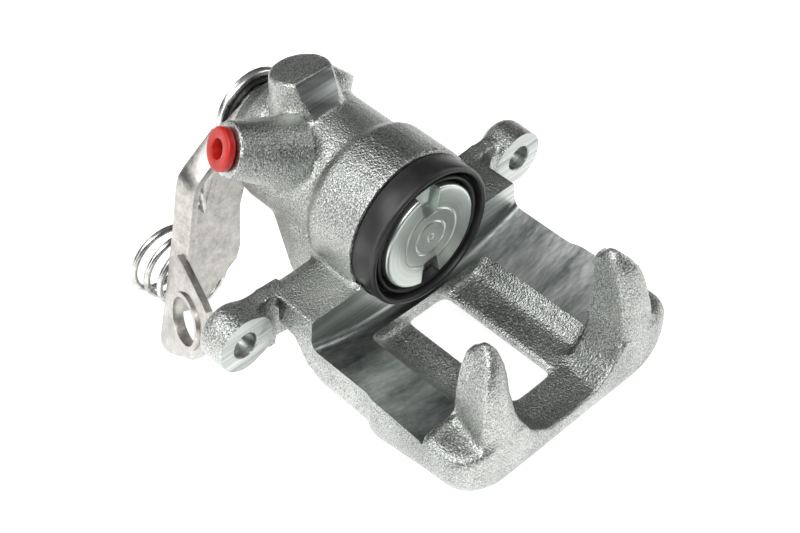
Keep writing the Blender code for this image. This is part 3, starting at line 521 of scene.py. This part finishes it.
def makeCasting():
    c = casting
    body = copyOfNode("caliper_body", "casting")
    stock = c["stock"]
    half, back = c["windowHalf"] + 0.5, c["windowBack"] + 0.4
    face, wall = c["faceY"], c["wallY"]
    addStock(body, (0, 0, stock), (half, face - 0.2, -34), (50, wall + 0.5, -14))
    addStock(body, (0, 0, stock), (-50, face - 0.2, -34), (-half, wall + 0.5, -14))
    addStock(body, (0, 0, stock), (-half - 1, back, -34), (half + 1, wall + 0.5, -14))
    addStock(body, (0, -stock, 0), (-50, 1, -27), (50, wall + 1, -8))
    for low, high in ((-42, -18), (18, 42)):        # on the pad faces of the two fingers
        addStock(body, (0, 2, 0), (low, face - 1.5, -17.5), (high, face + 2.2, 7))
    for side in (-1, 1):
        low, high = sorted((side * 47, side * 71))
        addStock(body, (0, -stock, 0), (low, c["earFace"] - stock - 0.2, -29), (high, c["earFace"] + 1, -6))
    pick(body)
    body.data.remesh_voxel_size = c["voxel"]
    body.data.remesh_voxel_adaptivity = 0
    bpy.ops.object.voxel_remesh()
    applyModifier(body, "SMOOTH", factor=0.5, iterations=c["smoothing"])
    soft = body.vertex_groups.new(name="soft")     # fingers, bridge sides and ears are rounder
    soft.add([v.index for v in body.data.vertices
              if v.co.y < (c["faceY"] + 0.5) * mm or (v.co.z < -24 * mm and v.co.y < 8 * mm)
              or abs(v.co.x) > 47 * mm], 1.0, "REPLACE")
    applyModifier(body, "SMOOTH", factor=0.5, iterations=c["softening"], vertex_group="soft")
    body.vertex_groups.clear()
    booleanWith(body, discCutter())
    for side in (-1, 1):
        x, z = side * c["earX"], c["earZ"]
        facing = ringPiece("facing", [(c["earFace"] - 8, 12.5), (c["earFace"], 12.5)], 48, False)
        closeEnds(facing)
        moveBy(facing, (x, 0, z))
        booleanWith(body, facing)
        r, mouth = c["earHole"], c["earFace"]
        hole = ringPiece("hole", [(mouth - 2, r + 2.4), (mouth + 0.4, r), (mouth + 20, r)], 48, False)
        closeEnds(hole)
        moveBy(hole, (x, 0, z))
        booleanWith(body, hole)
    bores = ringPiece("bores", c["bores"], 96, False)
    closeEnds(bores)
    booleanWith(body, bores)
    port = ringPiece("port", [(-16, c["portHole"]), (5, c["portHole"])], 40, False)
    closeEnds(port)
    booleanWith(body, pointAlong(port, c["portEnd"], c["portAxis"]))
    spotTool = pointAlong(boxTool((-14, 0, -14), (14, 14, 14)), c["spotPoint"], c["spotAxis"])
    boss = ringPiece("boss", [(-24, 13.4), (1, 10.6)], 48, False)
    closeEnds(boss)
    booleanWith(spotTool, pointAlong(boss, c["bossTop"], c["bossAxis"]), "INTERSECT")
    barrel = ringPiece("barrel", [(20, c["barrelRadius"]), (70, c["barrelRadius"])], 96, False)
    closeEnds(barrel)
    booleanWith(spotTool, barrel)
    booleanWith(body, spotTool)
    machinedMask(body)
    smoothByAngle(body, 38)
    give(body, zincCasting, "caliper", ["caliper_body"])
    print("casting made:", len(body.data.polygons), "faces")


makeCasting()


# piston and boot

piston = {
    "radius": 18.9, "nose": 18.2, "length": 38.0,
    "grooves": (6.0, 10.6), "grooveDepth": 0.35, "grooveWidth": 0.5,
    "notchInner": 9.2, "notchHalf": (2.6, 4.6), "notchDepth": 4.1,
}


def makePiston():
    p = piston
    depth, width = p["grooveDepth"], p["grooveWidth"]
    profile = [(0, 0.02), (0, 0.9), (0.25, 1.25), (0, 1.6)]
    for radius in p["grooves"]:
        profile += [(0, radius - width), (depth * 0.8, radius - width * 0.45), (depth, radius),
                    (depth * 0.8, radius + width * 0.45), (0, radius + width)]
    nose, length = p["nose"], p["length"]
    profile += [(0, nose - 1.2), (0.12, nose - 0.6), (0.45, nose - 0.2), (0.9, nose), (4.2, nose),
                (4.2, nose - 1.4), (7.4, nose - 1.4), (7.4, nose), (8.2, p["radius"]),
                (length - 0.8, p["radius"]), (length, p["radius"] - 0.8), (length, 14.5), (13, 14.5),
                (7, 9.5), (7, 0.02)]
    body = ringPiece("pistonTurned", profile, 128, closed=True)
    for way in (-1, 1):
        bpy.ops.object.select_all(action="DESELECT")
        inner, outer = p["notchHalf"]
        tool = boxTool((-1, -1, 0), (1, p["notchDepth"], 1))
        reach = (p["notchInner"], 20)
        for vertex in tool.data.vertices:          # a wedge that widens outward
            far = vertex.co.z > 0.5 * mm
            half = outer if far else inner
            vertex.co.x = math.copysign(half, vertex.co.x) * mm
            vertex.co.z = way * reach[1 if far else 0] * mm
        pick(tool)
        bpy.ops.object.mode_set(mode="EDIT")
        bpy.ops.mesh.select_all(action="SELECT")
        bpy.ops.mesh.normals_make_consistent(inside=False)
        bpy.ops.object.mode_set(mode="OBJECT")
        booleanWith(body, tool)
    applyModifier(body, "BEVEL", width=0.25 * mm, segments=2, limit_method="ANGLE",
                  angle_limit=math.radians(50))
    smoothByAngle(body, 30)
    give(body, pistonZinc, "piston", ["piston"])


boot = {"out": 24.4, "back": 8.7, "lip": 18.5}


def makeBoot():
    out, back, lip = boot["out"], boot["back"], boot["lip"]
    profile = [
        (back, out - 0.2), (back - 0.3, out), (1.6, out), (0.8, out - 0.1), (0.2, out - 0.4),
        (-0.15, out - 0.8), (-0.3, out - 1.25), (-0.1, out - 1.7), (0.4, out - 1.95), (1.6, out - 2.1),
        (3.2, out - 2.3), (3.9, out - 2.6), (4.1, out - 2.9), (3.8, out - 3.2), (3.0, out - 3.45),
        (1.9, out - 3.65), (1.2, out - 3.9), (1.0, out - 4.3), (1.2, out - 4.7), (1.9, out - 5.0),
        (2.8, lip + 0.5), (3.3, lip + 0.15), (3.8, lip), (6.2, lip), (6.2, lip + 1.2), (3.9, out - 4.2),
        (5.0, out - 3.7), (5.6, out - 3.2), (5.9, out - 2.6), (5.5, out - 2.1), (4.6, out - 1.5),
        (2.4, out - 1.2), (back, out - 1.2)]
    body = ringPiece("bootFolded", profile, 128, closed=True)
    smoothByAngle(body, 50)
    give(body, bootRubber, "caliper", ["dust_boot"])


makePiston()
makeBoot()
print("piston and boot made")


# bracket, lever, spring, plug

def makeBevelled(nodeName, newName, width, material, body, angle):
    piece = copyOfNode(nodeName, newName)
    pick(piece)
    bpy.ops.object.mode_set(mode="EDIT")
    bpy.ops.mesh.select_all(action="SELECT")
    bpy.ops.mesh.dissolve_limited(angle_limit=math.radians(1.5))
    bpy.ops.object.mode_set(mode="OBJECT")
    applyModifier(piece, "BEVEL", width=width * mm, segments=2, limit_method="ANGLE",
                  angle_limit=math.radians(angle), use_clamp_overlap=True)
    smoothByAngle(piece, 40)
    give(piece, material, body, [nodeName])


makeBevelled("cable_bracket", "bracketPressed", 0.35, bracketSteel, "caliper", 40)
makeBevelled("lever", "leverPressed", 0.3, leverSteel, "lever", 40)
makeBevelled("lever_nut", "leverNut", 0.35, plainSteel, "lever", 40)

spring = {
    "wire": 2.4, "radius": 13.0, "turns": 3.5, "pitch": 4.1, "centre": (-30.4, -55.0), "lean": (-0.5, 0.42),
    "start": 79.9, "lug": (-11.5, -4.5), "leverFace": 82.2, "leverBack": 85.2,
}


def makeSpring():
    s = spring
    start = s["start"]
    end = start + s["pitch"] * s["turns"]
    front = [(-30.5, start - 6.2, -19), (-30.8, start - 6.4, -13), (-30.6, start - 6.0, -9.4),
             (-30.4, start - 4.2, -7.7), (-30.6, start - 0.9, -8.2), (-31.6, start, -11),
             (-38, start, -30), (-43.4, start, -43)]
    path = []
    for a, b in zip(front, front[1:]):
        path += [Vector(a).lerp(Vector(b), t) for t in (0, 0.5)]
    path.append(Vector(front[-1]))
    steps = int(s["turns"] * 40)
    for i in range(1, steps + 1):
        angle = math.pi + 2 * math.pi * s["turns"] * i / steps
        back = (end - start) * i / steps
        cx, cz = (c + back * lean for c, lean in zip(s["centre"], s["lean"]))
        path.append(Vector((cx + s["radius"] * math.cos(angle), start + back,
                            cz + s["radius"] * math.sin(angle))))
    behind = s["leverBack"] + s["wire"] / 2 + 0.3
    lugX, lugZ = s["lug"]
    rear = [(cx + s["radius"] + 0.6, end, cz + 8), (lugX - 1.5, behind + 0.8, lugZ - 8),
            (lugX - 0.2, behind + 0.3, lugZ - 1.2), (lugX, behind - 1.0, lugZ),
            (lugX, s["leverFace"] + 0.5, lugZ)]
    path += [Vector(p) for p in rear]
    for _ in range(2):                              # rounds the corners of the legs a little
        path = [path[0]] + [path[i - 1] * 0.2 + path[i] * 0.6 + path[i + 1] * 0.2
                            for i in range(1, len(path) - 1)] + [path[-1]]
    curve = bpy.data.curves.new("springPath", "CURVE")
    curve.dimensions = "3D"
    line = curve.splines.new("POLY")
    line.points.add(len(path) - 1)
    for point, place in zip(line.points, path):
        point.co = (*(place * mm), 1)
    curve.bevel_depth = s["wire"] / 2 * mm
    curve.bevel_resolution = 3
    curve.use_fill_caps = True
    holder = bpy.data.objects.new("springWound", curve)
    bpy.context.collection.objects.link(holder)
    pick(holder)
    bpy.ops.object.convert(target="MESH")
    piece = bpy.context.object
    piece.name = "springWound"
    smoothByAngle(piece, 50)
    give(piece, springWire, "caliper", ["return_spring"])


def makePlug():
    c = casting
    reach, neck, seat = 10, 4.1, 0.5
    profile = [(-reach, 2.6), (-reach, neck - 0.8), (-reach + 0.6, neck - 0.3), (-reach + 2, neck),
               (seat, neck), (seat, 6.4), (0.7, 6.75), (1.0, 6.9), (2.5, 6.9), (2.9, 6.75), (3.15, 6.35),
               (3.2, 5.9), (3.2, 3.6), (3.1, 3.3), (2.7, 3.1), (-reach + 2.5, 2.7), (-reach + 2.5, 0.02),
               (-reach + 1, 0.02), (-reach + 1, 2.6)]
    piece = ringPiece("plugMoulded", profile, 64, closed=True)
    pointAlong(piece, c["portEnd"], c["portAxis"])
    smoothByAngle(piece, 40)
    give(piece, redPlastic, "plug", ["port_plug"])


makeSpring()
makePlug()
print("bracket, lever, spring and plug made")

nodeLooks = {
    "piston_seal": sealRubber, "boot_ring": plainSteel, "adjuster_nut": plainSteel,
    "adjuster_screw": darkSteel, "adjuster_spring": springWire, "spring_cage": plainSteel,
    "cage_ring": darkSteel, "push_plate": darkSteel, "turning_plate": darkSteel, "ramp_ball_1": ballSteel,
    "ramp_ball_2": ballSteel, "ramp_ball_3": ballSteel, "thrust_washer": plainSteel,
    "lever_shaft": plainSteel, "shaft_bush": bronze, "shaft_seal": sealRubber, "shaft_boot": bootRubber,
    "bracket_ring": plainSteel,
}
for nodeName, look in nodeLooks.items():
    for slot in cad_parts[nodeName].material_slots:
        slot.material = look
print("CAD nodes dressed")


# floor, lights, camera

studio = {
    "floorZ": -0.0724, "floorSize": 6.0, "floorColour": (0.93, 0.93, 0.93), "floorGlow": 0.62, "world": 0.36,
    "lights": [                                     # name, place, aim, size, power
        ("keySoftbox", (-0.35, -0.25, 0.75), (0, 0, 0), (0.7, 0.5), 5.0),
        ("topSoftbox", (-0.45, 0.45, 0.65), (0, 0.03, 0), (0.8, 0.4), 3.8),
        ("leftStrip", (-0.8, 0.1, 0.2), (0, 0, 0), (0.3, 0.8), 2.0),
        ("rightStrip", (0.75, -0.2, 0.25), (0, 0, 0), (0.25, 0.7), 1.4),
    ],
}


def makeFloor():
    deselectAll()
    bpy.ops.mesh.primitive_plane_add(size=studio["floorSize"], location=(0, 0, studio["floorZ"]))
    floor = bpy.context.object
    floor.name = "studioFloor"
    applyPlace(floor)
    material, _, shader = newMaterial("floorPaper")
    shader.inputs["Base Color"].default_value = (*studio["floorColour"], 1)
    shader.inputs["Roughness"].default_value = 0.9
    shader.inputs["Emission Color"].default_value = (1, 1, 1, 1)
    shader.inputs["Emission Strength"].default_value = studio["floorGlow"]
    floor.data.materials.append(material)


def areaLight(name, place, aim, size, power):
    data = bpy.data.lights.new(name, "AREA")
    data.shape = "RECTANGLE"
    data.size, data.size_y = size
    data.energy = power
    light = bpy.data.objects.new(name, data)
    light.location = place
    light.rotation_euler = (Vector(aim) - Vector(place)).to_track_quat("-Z", "Y").to_euler()
    bpy.context.collection.objects.link(light)


def makeLights():
    bpy.context.scene.view_settings.view_transform = "Standard"
    world = bpy.data.worlds.new("studio")
    bpy.context.scene.world = world
    world.use_nodes = True
    tree = world.node_tree
    background = tree.nodes["Background"]
    coords = tree.nodes.new("ShaderNodeTexCoord")
    split = tree.nodes.new("ShaderNodeSeparateXYZ")
    tree.links.new(coords.outputs["Generated"], split.inputs[0])
    shade = ramp(tree, split.outputs["Z"], [(0.0, (0.35, 0.35, 0.35)), (0.25, (0.12, 0.125, 0.125)),
                                            (0.6, (0.3, 0.3, 0.3)), (1.0, (0.9, 0.9, 0.9))])
    tree.links.new(shade, background.inputs["Color"])
    background.inputs["Strength"].default_value = studio["world"]
    for settings in studio["lights"]:
        areaLight(*settings)


view = {"aim": (-0.0111, 0.0019, -0.0060), "azimuth": -43.12, "elevation": 46.07, "roll": -0.86,
        "distance": 0.52424, "lens": 77.86, "sensor": 36.0}


def makeCamera():
    az, el, roll = (math.radians(view[key]) for key in ("azimuth", "elevation", "roll"))
    back = Vector((math.cos(el) * math.sin(az), -math.cos(el) * math.cos(az), math.sin(el)))
    level = Vector((math.cos(az), math.sin(az), 0))
    up = back.cross(level)
    right = level * math.cos(roll) + up * math.sin(roll)
    up = back.cross(right)
    data = bpy.data.cameras.new("viewCamera")
    data.lens = view["lens"]
    data.sensor_width = view["sensor"]
    camera = bpy.data.objects.new("viewCamera", data)
    turn = Matrix((right, up, back)).transposed().to_4x4()
    camera.matrix_world = Matrix.Translation(Vector(view["aim"]) + back * view["distance"]) @ turn
    bpy.context.collection.objects.link(camera)
    bpy.context.scene.camera = camera


makeFloor()
makeLights()
makeCamera()
print("studio made")
